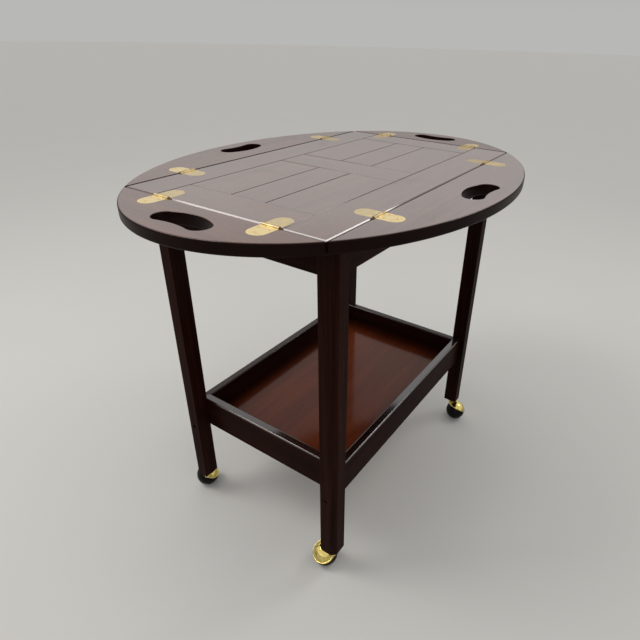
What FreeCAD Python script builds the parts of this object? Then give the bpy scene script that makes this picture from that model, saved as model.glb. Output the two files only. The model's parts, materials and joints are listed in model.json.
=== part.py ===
import FreeCAD, Part
import math
import os

# Oval butler's tray table. A panelled tray top carries four hinged leaves with hand holes, and lifts off a
# four-legged stand that has a shelf tray between its legs and a ball caster under each leg.
# Millimetres. X runs along the table, Y across it, Z up. The origin is on the floor under the middle.

Vector = FreeCAD.Vector
ORIGIN = Vector(0, 0, 0)
UP = Vector(0, 0, 1)

# Distance under which two places count as one when edges are picked
SAME_PLACE = 0.001

# Tray top
TOP_HEIGHT = 625.0
OVAL_LENGTH = 762.0
OVAL_WIDTH = 555.0
END_LEAF_DEPTH = 89.0
TOP_THICKNESS = 16.5
TOP_EDGE_ROUND = 2.5
SEAM_GAP = 1.2
BOARD_WIDTH = 62.5
MIDDLE_PLANK_WIDTH = 62.0
ARRIS = 1.0
SEAM_ARRIS = 2.0

# Hand holes: two round lobes, a bowed side towards the seam and a dipped side towards the rim
HOLE_LOBE_RADIUS = 15.5
HOLE_LOBE_SPACING = 61.0
HOLE_BOW_RADIUS = 80.0
HOLE_DIP_RADIUS = 103.0
HOLE_FROM_RIM = 40.0
HOLE_ROUND = 1.5

# Butler's hinges
HINGE_WIDTH = 28.0
HINGE_REACH = 35.0
HINGE_THICKNESS = 2.0
KNUCKLE_RADIUS = 2.4
KNUCKLE_CLEARANCE = 0.3
KNUCKLE_GAP = 0.25
MIDDLE_KNUCKLE = 10.0
PIN_RADIUS = 1.25
PIN_FIT = 0.02
RUNNING_CLEARANCE = 0.05
POCKET_CLEARANCE = 0.1
HINGE_FROM_STILE = 2.5
SIDE_HINGE_FROM_END = 110.0

# Countersunk wood screws
SCREW_HEAD_RADIUS = 3.0
SCREW_SHANK_RADIUS = 1.6
SCREW_LENGTH = 13.0
SCREW_TIP = 3.0
SCREW_SINK = 0.1
SCREW_SLOT_WIDTH = 0.8
SCREW_SLOT_DEPTH = 0.8
SCREW_CLEARANCE = 0.05
HINGE_SCREW_SPREAD = 8.0
HINGE_SCREW_NEAR = 11.0
HINGE_SCREW_FAR = 26.0

# Legs
LEG_SIZE = 28.5
LEG_CHAMFER = 7.5
FOOT_CHAMFER = 3.0
LEG_INSET_END = 27.7
LEG_INSET_SIDE = 6.0

# Aprons, with tenons into the legs, and the blocks glued into their corners
APRON_HEIGHT = 47.5
APRON_THICKNESS = 16.0
APRON_SETBACK = 7.0
TENON_THICKNESS = 6.0
TENON_SHOULDER = 7.0
TENON_WEB = 1.5
MORTISE_CLEARANCE = 0.2
BLOCK_REACH = 45.0
BLOCK_NOSE = 22.0
BLOCK_HEIGHT = 25.0
BLOCK_DROP = 2.0

# Battens under the tray top, which drop inside the aprons and locate the tray
BATTEN_WIDTH = 20.0
BATTEN_HEIGHT = 15.0
BATTEN_CLEARANCE = 1.0
BATTEN_END_GAP = 3.0
BATTEN_SCREW_LENGTH = 26.0
BATTEN_SCREW_FROM_END = 40.0
BATTEN_SCREW_INSET = 6.0

# Shelf tray
SHELF_BOTTOM = 166.0
SHELF_WALL_HEIGHT = 59.5
SHELF_WALL_THICKNESS = 14.0
SHELF_SETBACK = 10.8
SHELF_RIM_ROUND = 2.0
SHELF_FLOOR_LIFT = 16.0
SHELF_FLOOR_THICKNESS = 6.0
SHELF_GROOVE_DEPTH = 6.0
SHELF_FLOOR_CLEARANCE = 0.2

# Screws through the legs into the shelf tray's corners
SHELF_SCREW_HEAD_RADIUS = 3.4
SHELF_SCREW_HEAD_HEIGHT = 2.6
SHELF_SCREW_RADIUS = 2.0
SHELF_SCREW_BITE = 18.0
SHELF_SCREW_RECESS = 6.0

# Ball casters: a brass hood over the upper side of the ball, a wheel on a slanting axle below it
BALL_DIAMETER = 43.0
BALL_TRAIL = 16.0
AXLE_SLOPE = 60.0
HOOD_SPLIT = 6.5
FOOT_GAP = 3.0
HOOD_WALL = 2.2
HOOD_WHEEL_GAP = 1.0
AXLE_RADIUS = 2.5
AXLE_BOSS_RADIUS = 5.5
AXLE_HEAD_RADIUS = 4.0
AXLE_HEAD_HEIGHT = 1.4
AXLE_HEAD_DEPTH = 4.5
AXLE_END_PLAY = 0.2
STEM_RADIUS = 4.0
STEM_INSERTION = 38.0
STEM_BOSS_RADIUS = 7.0
STEM_BOSS_DEPTH = 11.5
SOCKET_WALL = 1.5
SOCKET_FLANGE_RADIUS = 8.0
SOCKET_FLANGE_THICKNESS = 1.2
SOCKET_SEAT_GAP = 0.3
SOCKET_SPARE_DEPTH = 2.0

# The way each caster trails, in degrees from +X, and its hand: 1 has the hood on the left of that way, -1 on
# the right
CASTER_WAYS = {
    "front_left": (85.0, 1),
    "front_right": (247.0, 1),
    "back_left": (52.0, -1),
    "back_right": (300.0, -1),
}

# Sizes that follow from the ones above. The panel's corners lie on the oval, just inside its rounded rim.
FLAT_LENGTH = OVAL_LENGTH - 2 * TOP_EDGE_ROUND
FLAT_WIDTH = OVAL_WIDTH - 2 * TOP_EDGE_ROUND
PANEL_LENGTH = OVAL_LENGTH - 2 * END_LEAF_DEPTH
PANEL_WIDTH = FLAT_WIDTH * math.sqrt(1 - (PANEL_LENGTH / FLAT_LENGTH) ** 2)
PANEL_X = PANEL_LENGTH / 2
PANEL_Y = PANEL_WIDTH / 2
FIELD_X = PANEL_X - BOARD_WIDTH
FIELD_Y = PANEL_Y - BOARD_WIDTH
UNDERSIDE = TOP_HEIGHT - TOP_THICKNESS
LEG_X = PANEL_X - LEG_INSET_END
LEG_Y = PANEL_Y - LEG_INSET_SIDE
LEG_INNER_X = LEG_X - LEG_SIZE
LEG_INNER_Y = LEG_Y - LEG_SIZE
LEG_MIDDLE_X = LEG_X - LEG_SIZE / 2
LEG_MIDDLE_Y = LEG_Y - LEG_SIZE / 2
LEG_BOTTOM = BALL_DIAMETER + FOOT_GAP
APRON_INNER_X = LEG_X - APRON_SETBACK - APRON_THICKNESS
APRON_INNER_Y = LEG_Y - APRON_SETBACK - APRON_THICKNESS
TENON_LENGTH = LEG_SIZE - APRON_SETBACK - (APRON_THICKNESS + TENON_THICKNESS) / 2 - TENON_WEB
SHELF_X = LEG_INNER_X
SHELF_Y = LEG_Y - SHELF_SETBACK
SHELF_RIM = SHELF_BOTTOM + SHELF_WALL_HEIGHT
SHELF_FLOOR_BOTTOM = SHELF_BOTTOM + SHELF_FLOOR_LIFT
SHELF_SCREW_Y = LEG_Y - (LEG_SIZE + LEG_CHAMFER) / 2
SHELF_SCREW_Z = SHELF_BOTTOM + SHELF_FLOOR_LIFT / 2
BALL_RADIUS = BALL_DIAMETER / 2
SOCKET_RADIUS = STEM_RADIUS + RUNNING_CLEARANCE + SOCKET_WALL
STEM_BOSS_TOP = LEG_BOTTOM - SOCKET_FLANGE_THICKNESS - SOCKET_SEAT_GAP
STEM_BOTTOM = STEM_BOSS_TOP - STEM_BOSS_DEPTH
STEM_TOP = LEG_BOTTOM + STEM_INSERTION
SOCKET_TOP = STEM_TOP + SOCKET_SPARE_DEPTH

# Corners by name, with the signs of X and Y
CORNERS = {"front_left": (-1, -1), "front_right": (1, -1), "back_left": (-1, 1), "back_right": (1, 1)}

# Seams by name: the turn about Z that carries the back seam there, the hinge line's distance from the middle,
# the rim's distance from the middle, the hinges' distance from the middle of the seam, and half its length
SIDE_SEAM = PANEL_Y + SEAM_GAP / 2
END_SEAM = PANEL_X + SEAM_GAP / 2
SIDE_HINGE_PLACE = PANEL_X - SIDE_HINGE_FROM_END
END_HINGE_PLACE = FIELD_Y - HINGE_FROM_STILE - HINGE_WIDTH / 2
SEAMS = {
    "back": (0, SIDE_SEAM, OVAL_WIDTH / 2, SIDE_HINGE_PLACE, PANEL_X),
    "left": (90, END_SEAM, OVAL_LENGTH / 2, END_HINGE_PLACE, PANEL_Y),
    "front": (180, SIDE_SEAM, OVAL_WIDTH / 2, SIDE_HINGE_PLACE, PANEL_X),
    "right": (270, END_SEAM, OVAL_LENGTH / 2, END_HINGE_PLACE, PANEL_Y),
}


def block(low, high):
    """Rectangular solid between two opposite corners."""
    size = [b - a for a, b in zip(low, high)]
    return Part.makeBox(size[0], size[1], size[2], Vector(*low))


def prism(points, bottom, top):
    """Upright solid on a polygon drawn in plan."""
    corners = [Vector(x, y, bottom) for x, y in points]
    wire = Part.makePolygon(corners + corners[:1])
    return Part.Face(wire).extrude(Vector(0, 0, top - bottom))


def rod(start, direction, radius, length):
    """Round bar from a point along a direction."""
    return Part.makeCylinder(radius, length, start, direction)


def to_corner(shape, signs):
    """Copy of a shape drawn at the +X +Y corner, mirrored to the corner with the given signs."""
    placed = shape.copy()
    if signs[0] < 0:
        placed = placed.mirror(ORIGIN, Vector(1, 0, 0))
    if signs[1] < 0:
        placed = placed.mirror(ORIGIN, Vector(0, 1, 0))
    return placed


def to_seam(shape, seam, along=0.0):
    """Copy of a shape drawn about the X axis, outward on +Y, carried to a seam's hinge line."""
    turn, distance = SEAMS[seam][:2]
    placed = shape.copy()
    placed.translate(Vector(along, distance, TOP_HEIGHT))
    placed.rotate(ORIGIN, UP, turn)
    return placed


def at_hinges(shape, seam):
    """Copies of a shape at both hinges of a seam."""
    place = SEAMS[seam][3]
    return [to_seam(shape, seam, -place), to_seam(shape, seam, place)]


def edges_at_height(shape, height):
    """Edges that lie level at a height."""
    found = []
    for edge in shape.Edges:
        if max(abs(edge.BoundBox.ZMin - height), abs(edge.BoundBox.ZMax - height)) < SAME_PLACE:
            found.append(edge)
    return found


def save(name, solids):
    """Writes one node: a single solid or a group of separate solids."""
    shape = solids[0] if len(solids) == 1 else Part.makeCompound(solids)
    shape.exportStep("parts/" + name + ".step")


# Hinges and screws, drawn with the pin along X at the top surface's level


def wood_screw(length):
    """Slotted countersunk screw, pointing down, with its head just under the surface."""
    head_height = SCREW_HEAD_RADIUS - SCREW_SHANK_RADIUS
    neck = -SCREW_SINK - head_height
    tip = -length + SCREW_TIP
    head = Part.makeCone(SCREW_SHANK_RADIUS, SCREW_HEAD_RADIUS, head_height, Vector(0, 0, neck))
    shank = rod(Vector(0, 0, tip), UP, SCREW_SHANK_RADIUS, neck - tip)
    point = Part.makeCone(0, SCREW_SHANK_RADIUS, SCREW_TIP, Vector(0, 0, -length))
    slot = block((-SCREW_HEAD_RADIUS, -SCREW_SLOT_WIDTH / 2, -SCREW_SINK - SCREW_SLOT_DEPTH),
                 (SCREW_HEAD_RADIUS, SCREW_SLOT_WIDTH / 2, 0))
    return head.fuse([shank, point]).removeSplitter().cut(slot)


def screw_hole(length):
    """Countersunk hole that clears a wood screw all round."""
    head_height = SCREW_HEAD_RADIUS - SCREW_SHANK_RADIUS
    neck = -SCREW_SINK - head_height
    shank_radius = SCREW_SHANK_RADIUS + SCREW_CLEARANCE
    head_radius = SCREW_HEAD_RADIUS + SCREW_CLEARANCE
    cone = Part.makeCone(shank_radius, head_radius, head_height, Vector(0, 0, neck))
    mouth = rod(Vector(0, 0, -SCREW_SINK), UP, head_radius, 2 * SCREW_SINK)
    bore = rod(Vector(0, 0, -length - SCREW_CLEARANCE), UP, shank_radius, length + SCREW_CLEARANCE + neck)
    return cone.fuse([mouth, bore])


def hinge_screw_spots(side):
    """Screw centres of one hinge plate: side is 1 on the leaf and -1 on the panel."""
    near = side * HINGE_SCREW_NEAR
    return [(-HINGE_SCREW_SPREAD, near), (HINGE_SCREW_SPREAD, near), (0, side * HINGE_SCREW_FAR)]


def placed_at(shape, spots):
    """Copies of a shape at each spot in plan."""
    copies = []
    for x, y in spots:
        copy = shape.copy()
        copy.translate(Vector(x, y, 0))
        copies.append(copy)
    return copies


def plate_blank(side, grow, bottom, top):
    """Hinge plate with a half-round end, from the pin outwards."""
    half = HINGE_WIDTH / 2 + grow
    straight = side * (HINGE_REACH - HINGE_WIDTH / 2)
    corners = [Vector(-half, straight, bottom), Vector(-half, 0, bottom), Vector(half, 0, bottom),
               Vector(half, straight, bottom)]
    sides = [Part.makeLine(a, b) for a, b in zip(corners, corners[1:])]
    end = Part.Arc(corners[3], Vector(0, straight + side * half, bottom), corners[0]).toShape()
    return Part.Face(Part.Wire(sides + [end])).extrude(Vector(0, 0, top - bottom))


def barrel(start, end, radius):
    """Cylinder about the pin's axis between two places along it."""
    return rod(Vector(start, 0, 0), Vector(1, 0, 0), radius, end - start)


def hinge_plate(side):
    """One half of a hinge: the panel's plate has the outer knuckles, the leaf's plate the middle one."""
    half = HINGE_WIDTH / 2
    middle = MIDDLE_KNUCKLE / 2
    clear = KNUCKLE_RADIUS + KNUCKLE_CLEARANCE
    plate = plate_blank(side, 0, -HINGE_THICKNESS, 0)
    outer = [(-half, -middle - KNUCKLE_GAP), (middle + KNUCKLE_GAP, half)]
    if side > 0:
        knuckles = [barrel(-middle, middle, KNUCKLE_RADIUS)]
        reliefs = [barrel(-half, -middle, clear), barrel(middle, half, clear)]
        bore_radius = PIN_RADIUS + RUNNING_CLEARANCE
    else:
        knuckles = [barrel(start, end, KNUCKLE_RADIUS) for start, end in outer]
        reliefs = [barrel(-middle - KNUCKLE_GAP, middle + KNUCKLE_GAP, clear)]
        bore_radius = PIN_RADIUS + PIN_FIT
    holes = placed_at(screw_hole(SCREW_LENGTH), hinge_screw_spots(side))
    plate = plate.cut(reliefs).fuse(knuckles).removeSplitter()
    return plate.cut([barrel(-half, half, bore_radius)] + holes)


def hinge_pocket(side):
    """What a hinge takes out of the wood on one side: its plate, its knuckles and its screws."""
    half = HINGE_WIDTH / 2 + POCKET_CLEARANCE
    pocket = plate_blank(side, POCKET_CLEARANCE, -HINGE_THICKNESS, KNUCKLE_RADIUS)
    knuckles = barrel(-half - KNUCKLE_GAP, half + KNUCKLE_GAP, KNUCKLE_RADIUS + KNUCKLE_CLEARANCE)
    return [pocket, knuckles] + placed_at(screw_hole(SCREW_LENGTH), hinge_screw_spots(side))


def hinge_cuts(seam, side):
    """Both hinges' pockets on one side of a seam."""
    cuts = []
    for shape in hinge_pocket(side):
        cuts.extend(at_hinges(shape, seam))
    return cuts


# Tray top


def oval_disc():
    """The whole oval top, with its rim rounded, before it is divided."""
    rim = Part.Ellipse(Vector(0, 0, UNDERSIDE), OVAL_LENGTH / 2, OVAL_WIDTH / 2).toShape()
    disc = Part.Face(Part.Wire([rim])).extrude(Vector(0, 0, TOP_THICKNESS))
    rims = edges_at_height(disc, TOP_HEIGHT) + edges_at_height(disc, UNDERSIDE)
    return disc.makeFillet(TOP_EDGE_ROUND, rims)


def board(low, high):
    """Board of the panel, between two corners in plan, with its upper arrises taken off."""
    blank = block((low[0], low[1], UNDERSIDE), (high[0], high[1], TOP_HEIGHT))
    return blank.makeChamfer(ARRIS, edges_at_height(blank, TOP_HEIGHT))


def seam_wedge(seam, side):
    """Cutter for the arris along a seam, on the leaf's side of it (1) or the panel's side (-1)."""
    over = SEAM_GAP
    face = SEAM_GAP / 2
    near = face - over
    start = -SEAMS[seam][4] - over
    corners = [(near, over), (near, -SEAM_ARRIS - over), (face + SEAM_ARRIS + over, over)]
    outline = [Vector(start, side * y, z) for y, z in corners + corners[:1]]
    wedge = Part.Face(Part.makePolygon(outline)).extrude(Vector(-2 * start, 0, 0))
    return to_seam(wedge, seam)


def hand_hole():
    """Through cutter for a hand hole, about the middle of its lobes, with the rim on +Y."""
    half = HOLE_LOBE_SPACING / 2
    radius = HOLE_LOBE_RADIUS
    bow_centre = math.sqrt((HOLE_BOW_RADIUS - radius) ** 2 - half ** 2)
    dip_centre = math.sqrt((HOLE_DIP_RADIUS + radius) ** 2 - half ** 2)
    bow_share = radius / (HOLE_BOW_RADIUS - radius)
    dip_share = radius / (HOLE_DIP_RADIUS + radius)
    bottom = -TOP_THICKNESS
    bow_end = Vector(half + half * bow_share, -bow_centre * bow_share, bottom)
    bow_middle = Vector(0, bow_centre - HOLE_BOW_RADIUS, bottom)
    dip_end = Vector(half - half * dip_share, dip_centre * dip_share, bottom)
    dip_middle = Vector(0, dip_centre - HOLE_DIP_RADIUS, bottom)
    lobe_side = Vector(half + radius, 0, bottom)

    def across(point):
        return Vector(-point.x, point.y, point.z)

    outline = [
        Part.Arc(across(bow_end), bow_middle, bow_end).toShape(),
        Part.Arc(bow_end, lobe_side, dip_end).toShape(),
        Part.Arc(dip_end, dip_middle, across(dip_end)).toShape(),
        Part.Arc(across(dip_end), across(lobe_side), across(bow_end)).toShape(),
    ]
    return Part.Face(Part.Wire(outline)).extrude(Vector(0, 0, TOP_THICKNESS))


def leaf(disc, seam):
    """Leaf beyond one seam: a slice of the oval with its seam arris, hand hole and hinge pockets cut."""
    distance, rim = SEAMS[seam][1:3]
    half_length = SEAMS[seam][4]
    seam_face = SEAM_GAP / 2
    slab = block((-half_length, seam_face, -TOP_THICKNESS), (half_length, rim, 0))
    wood = disc.common(to_seam(slab, seam))
    hole = hand_hole()
    hole.translate(Vector(0, rim - HOLE_FROM_RIM - distance, 0))
    wood = wood.cut([seam_wedge(seam, 1), to_seam(hole, seam)])
    hole_edges = [edge for edge in edges_at_height(wood, TOP_HEIGHT) + edges_at_height(wood, UNDERSIDE)
                  if edge.Curve.TypeId == "Part::GeomCircle"]
    return wood.makeFillet(HOLE_ROUND, hole_edges).cut(hinge_cuts(seam, 1))


def batten_layout():
    """Corners in plan of the battens that stand just inside the aprons, and their screws' places."""
    outer_x = APRON_INNER_X - BATTEN_CLEARANCE
    outer_y = APRON_INNER_Y - BATTEN_CLEARANCE
    long_end = APRON_INNER_X - BLOCK_REACH - BATTEN_END_GAP
    short_end = APRON_INNER_Y - BLOCK_REACH - BATTEN_END_GAP
    long_screw = long_end - BATTEN_SCREW_FROM_END
    short_screw = short_end - BATTEN_SCREW_FROM_END
    layout = []
    for sign in (-1, 1):
        side_y = sorted((sign * outer_y, sign * (outer_y - BATTEN_WIDTH)))
        end_x = sorted((sign * outer_x, sign * (outer_x - BATTEN_WIDTH)))
        screw_y = sign * (outer_y - BATTEN_SCREW_INSET)
        screw_x = sign * (outer_x - BATTEN_SCREW_INSET)
        layout.append(((-long_end, side_y[0]), (long_end, side_y[1]),
                       [(-long_screw, screw_y), (long_screw, screw_y)]))
        layout.append(((end_x[0], -short_end), (end_x[1], short_end),
                       [(screw_x, -short_screw), (screw_x, short_screw)]))
    return layout


def upward(shape):
    """Copy of a screw or its hole turned to point up from the battens' underside."""
    turned = shape.copy()
    turned.rotate(ORIGIN, Vector(1, 0, 0), 180)
    turned.translate(Vector(0, 0, UNDERSIDE - BATTEN_HEIGHT))
    return turned


def build_tray_top():
    """Panel boards, battens, hinges and leaves."""
    disc = oval_disc()
    layout = batten_layout()
    screw_spots = [spot for low, high, spots in layout for spot in spots]
    batten_holes = placed_at(upward(screw_hole(BATTEN_SCREW_LENGTH)), screw_spots)
    boards = {
        "stile_front": [board((-PANEL_X, -PANEL_Y), (PANEL_X, -FIELD_Y))],
        "stile_back": [board((-PANEL_X, FIELD_Y), (PANEL_X, PANEL_Y))],
        "rail_left": [board((-PANEL_X, -FIELD_Y), (-FIELD_X, FIELD_Y))],
        "rail_middle": [board((-BOARD_WIDTH / 2, -FIELD_Y), (BOARD_WIDTH / 2, FIELD_Y))],
        "rail_right": [board((FIELD_X, -FIELD_Y), (PANEL_X, FIELD_Y))],
        "planks_left": [],
        "planks_right": [],
    }
    plank_lines = [-FIELD_Y, -MIDDLE_PLANK_WIDTH / 2, MIDDLE_PLANK_WIDTH / 2, FIELD_Y]
    for low, high in zip(plank_lines, plank_lines[1:]):
        boards["planks_left"].append(board((-FIELD_X, low), (-BOARD_WIDTH / 2, high)))
        boards["planks_right"].append(board((BOARD_WIDTH / 2, low), (FIELD_X, high)))
    seam_boards = {"stile_front": "front", "stile_back": "back", "rail_left": "left", "rail_right": "right"}
    panel_wedges = [seam_wedge(seam, -1) for seam in SEAMS]
    for name, solids in boards.items():
        cuts = batten_holes + panel_wedges
        if name in seam_boards:
            cuts.extend(hinge_cuts(seam_boards[name], -1))
        save(name, [solid.cut(cuts) for solid in solids])

    battens = []
    for low, high, spots in layout:
        batten = block((low[0], low[1], UNDERSIDE - BATTEN_HEIGHT), (high[0], high[1], UNDERSIDE))
        battens.append(batten.cut(batten_holes))
    save("register_battens", battens)
    save("batten_screws", placed_at(upward(wood_screw(BATTEN_SCREW_LENGTH)), screw_spots))

    pins = []
    panel_screws = []
    pin = barrel(-HINGE_WIDTH / 2, HINGE_WIDTH / 2, PIN_RADIUS)
    screw = wood_screw(SCREW_LENGTH)
    for seam in SEAMS:
        save("hinge_plates_" + seam, at_hinges(hinge_plate(-1), seam))
        save("leaf_plates_" + seam, at_hinges(hinge_plate(1), seam))
        save("leaf_" + seam, [leaf(disc, seam)])
        pins.extend(at_hinges(pin, seam))
        for placed in placed_at(screw, hinge_screw_spots(-1)):
            panel_screws.extend(at_hinges(placed, seam))
        leaf_screws = []
        for placed in placed_at(screw, hinge_screw_spots(1)):
            leaf_screws.extend(at_hinges(placed, seam))
        save("leaf_screws_" + seam, leaf_screws)
    save("hinge_pins", pins)
    save("hinge_plate_screws", panel_screws)


# Stand


def apron_blank(along_x, grow):
    """Apron on the +Y side, or on the +X side if not along X, with a tenon at each end.

    Growing it makes the cutter for its mortises.
    """
    if along_x:
        shoulder, outer = LEG_INNER_X, LEG_Y - APRON_SETBACK
    else:
        shoulder, outer = LEG_INNER_Y, LEG_X - APRON_SETBACK
    bottom = UNDERSIDE - APRON_HEIGHT
    middle = outer - APRON_THICKNESS / 2
    end = shoulder + TENON_LENGTH + grow
    half = TENON_THICKNESS / 2 + grow
    tenon = block((-end, middle - half, bottom + TENON_SHOULDER - grow),
                  (end, middle + half, UNDERSIDE - TENON_SHOULDER + grow))
    rail = block((-shoulder, outer - APRON_THICKNESS, bottom), (shoulder, outer, UNDERSIDE))
    shape = tenon if grow else rail.fuse(tenon).removeSplitter()
    if not along_x:
        shape.rotate(ORIGIN, UP, -90)
    return shape


def leg_blank():
    """Straight leg at the +X +Y corner, chamfered on its outer corner and round its foot."""
    post = block((LEG_INNER_X, LEG_INNER_Y, LEG_BOTTOM), (LEG_X, LEG_Y, UNDERSIDE))
    outer_edges = [edge for edge in post.Edges
                   if edge.BoundBox.XMin > LEG_X - SAME_PLACE and edge.BoundBox.YMin > LEG_Y - SAME_PLACE]
    post = post.makeChamfer(LEG_CHAMFER, outer_edges)
    return post.makeChamfer(FOOT_CHAMFER, edges_at_height(post, LEG_BOTTOM))


def shelf_screw(grow):
    """Round-headed screw through the +X +Y leg into the shelf tray.

    Growing it makes the cutter for its hole.
    """
    head_face = LEG_X - SHELF_SCREW_RECESS
    axis_start = Vector(SHELF_X - SHELF_SCREW_BITE - grow, SHELF_SCREW_Y, SHELF_SCREW_Z)
    along = Vector(1, 0, 0)
    shank = rod(axis_start, along, SHELF_SCREW_RADIUS + grow, head_face - axis_start.x)
    head_start = Vector(head_face, SHELF_SCREW_Y, SHELF_SCREW_Z)
    head_length = SHELF_SCREW_RECESS if grow else SHELF_SCREW_HEAD_HEIGHT
    head = rod(head_start, along, SHELF_SCREW_HEAD_RADIUS + grow, head_length)
    return shank.fuse(head)


def slotted_shelf_screw():
    """Shelf screw with its driving slot."""
    head_end = LEG_X - SHELF_SCREW_RECESS + SHELF_SCREW_HEAD_HEIGHT
    slot = block((head_end - SCREW_SLOT_DEPTH, SHELF_SCREW_Y - SHELF_SCREW_HEAD_RADIUS,
                  SHELF_SCREW_Z - SCREW_SLOT_WIDTH / 2),
                 (head_end, SHELF_SCREW_Y + SHELF_SCREW_HEAD_RADIUS, SHELF_SCREW_Z + SCREW_SLOT_WIDTH / 2))
    return shelf_screw(0).cut(slot)


def caster_socket(grow):
    """Flanged sleeve in the +X +Y leg. Growing it makes the cutter for its bore."""
    base = Vector(LEG_MIDDLE_X, LEG_MIDDLE_Y, LEG_BOTTOM)
    sleeve = rod(base, UP, SOCKET_RADIUS + grow, SOCKET_TOP - LEG_BOTTOM + grow)
    if grow:
        return sleeve
    flange_base = base - Vector(0, 0, SOCKET_FLANGE_THICKNESS)
    flange = rod(flange_base, UP, SOCKET_FLANGE_RADIUS, SOCKET_FLANGE_THICKNESS)
    bore = rod(flange_base, UP, STEM_RADIUS + RUNNING_CLEARANCE, SOCKET_TOP - flange_base.z)
    return sleeve.fuse(flange).removeSplitter().cut(bore)


def shelf_floor(grow):
    """Floor panel let into the walls. Growing it makes the cutter for the walls' grooves."""
    reach = SHELF_GROOVE_DEPTH - SHELF_WALL_THICKNESS - SHELF_FLOOR_CLEARANCE + grow
    x = SHELF_X + reach
    y = SHELF_Y + reach
    return block((-x, -y, SHELF_FLOOR_BOTTOM - grow / 2),
                 (x, y, SHELF_FLOOR_BOTTOM + SHELF_FLOOR_THICKNESS + grow / 2))


def shelf_wall(along_x):
    """Mitred wall on the +Y side, or on the +X side if not along X, with its rim rounded."""
    inner_x = SHELF_X - SHELF_WALL_THICKNESS
    inner_y = SHELF_Y - SHELF_WALL_THICKNESS
    if along_x:
        plan = [(-SHELF_X, SHELF_Y), (SHELF_X, SHELF_Y), (inner_x, inner_y), (-inner_x, inner_y)]
    else:
        plan = [(SHELF_X, -SHELF_Y), (SHELF_X, SHELF_Y), (inner_x, inner_y), (inner_x, -inner_y)]
    wall = prism(plan, SHELF_BOTTOM, SHELF_RIM)
    rim_edges = []
    for edge in edges_at_height(wall, SHELF_RIM):
        width = edge.BoundBox.YLength if along_x else edge.BoundBox.XLength
        if width < SAME_PLACE:
            rim_edges.append(edge)
    return wall.makeFillet(SHELF_RIM_ROUND, rim_edges)


def corner_block():
    """Block glued into the corner between two aprons at the +X +Y corner."""
    plan = [
        (APRON_INNER_X, APRON_INNER_Y - BLOCK_NOSE),
        (APRON_INNER_X, APRON_INNER_Y - BLOCK_REACH),
        (APRON_INNER_X - BLOCK_REACH, APRON_INNER_Y),
        (APRON_INNER_X - BLOCK_NOSE, APRON_INNER_Y),
    ]
    top = UNDERSIDE - BLOCK_DROP
    return prism(plan, top - BLOCK_HEIGHT, top)


def build_stand():
    """Legs, aprons, corner blocks, shelf tray and the fittings in them."""
    screw_holes = [to_corner(shelf_screw(SCREW_CLEARANCE), signs) for signs in CORNERS.values()]
    leg = leg_blank().cut([
        apron_blank(True, MORTISE_CLEARANCE),
        apron_blank(False, MORTISE_CLEARANCE),
        shelf_screw(SCREW_CLEARANCE),
        caster_socket(SCREW_CLEARANCE),
    ])
    for corner, signs in CORNERS.items():
        save("leg_" + corner, [to_corner(leg, signs)])
    sides = {"back": (1, 1, True), "front": (1, -1, True), "right": (1, 1, False), "left": (-1, 1, False)}
    groove = shelf_floor(SHELF_FLOOR_CLEARANCE)
    for side, (x_sign, y_sign, along_x) in sides.items():
        save("apron_" + side, [to_corner(apron_blank(along_x, 0), (x_sign, y_sign))])
        wall = to_corner(shelf_wall(along_x), (x_sign, y_sign))
        save("shelf_wall_" + side, [wall.cut([groove] + screw_holes)])
    save("shelf_floor", [shelf_floor(0)])
    save("corner_blocks", [to_corner(corner_block(), signs) for signs in CORNERS.values()])
    save("shelf_screws", [to_corner(slotted_shelf_screw(), signs) for signs in CORNERS.values()])
    save("caster_sockets", [to_corner(caster_socket(0), signs) for signs in CORNERS.values()])


# Casters, drawn with the stem on the Z axis, the ball trailing on +X and the hood's side towards +Y. The
# wheel is about two thirds of the ball.

BALL_CENTRE = Vector(BALL_TRAIL, 0, BALL_RADIUS)
AXLE_WAY = Vector(0, math.cos(math.radians(AXLE_SLOPE)), math.sin(math.radians(AXLE_SLOPE)))


def along_axle(distance):
    """Point on the axle's line, measured from the ball's centre towards the hood."""
    return BALL_CENTRE + AXLE_WAY * distance


def half_space(distance, side):
    """Block that holds the ball's part beyond a plane across the axle, towards the hood if side is 1."""
    size = 2 * BALL_DIAMETER
    slab = block((-size / 2, -size / 2, 0), (size / 2, size / 2, size))
    slab.Placement = FreeCAD.Placement(along_axle(distance), FreeCAD.Rotation(UP, AXLE_WAY * side))
    return slab


def caster_hood():
    """Hollow part of the ball above the split, with bosses for the axle and the stem."""
    ball = Part.makeSphere(BALL_RADIUS, BALL_CENTRE)
    hollow = Part.makeSphere(BALL_RADIUS - HOOD_WALL, BALL_CENTRE)
    axle_boss = rod(BALL_CENTRE, AXLE_WAY, AXLE_BOSS_RADIUS, BALL_RADIUS - HOOD_WALL / 2)
    stem_boss = rod(Vector(0, 0, STEM_BOTTOM), UP, STEM_BOSS_RADIUS, STEM_BOSS_DEPTH)
    above = half_space(HOOD_SPLIT + HOOD_WHEEL_GAP / 2, 1)
    body = ball.cut(hollow).fuse([axle_boss.common(ball), stem_boss]).common(above).removeSplitter()
    axle_bore = rod(BALL_CENTRE, AXLE_WAY, AXLE_RADIUS + PIN_FIT, BALL_RADIUS - HOOD_WALL)
    stem_bore = rod(Vector(0, 0, STEM_BOTTOM), UP, STEM_RADIUS + PIN_FIT, STEM_BOSS_DEPTH)
    return body.cut([axle_bore, stem_bore])


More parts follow.
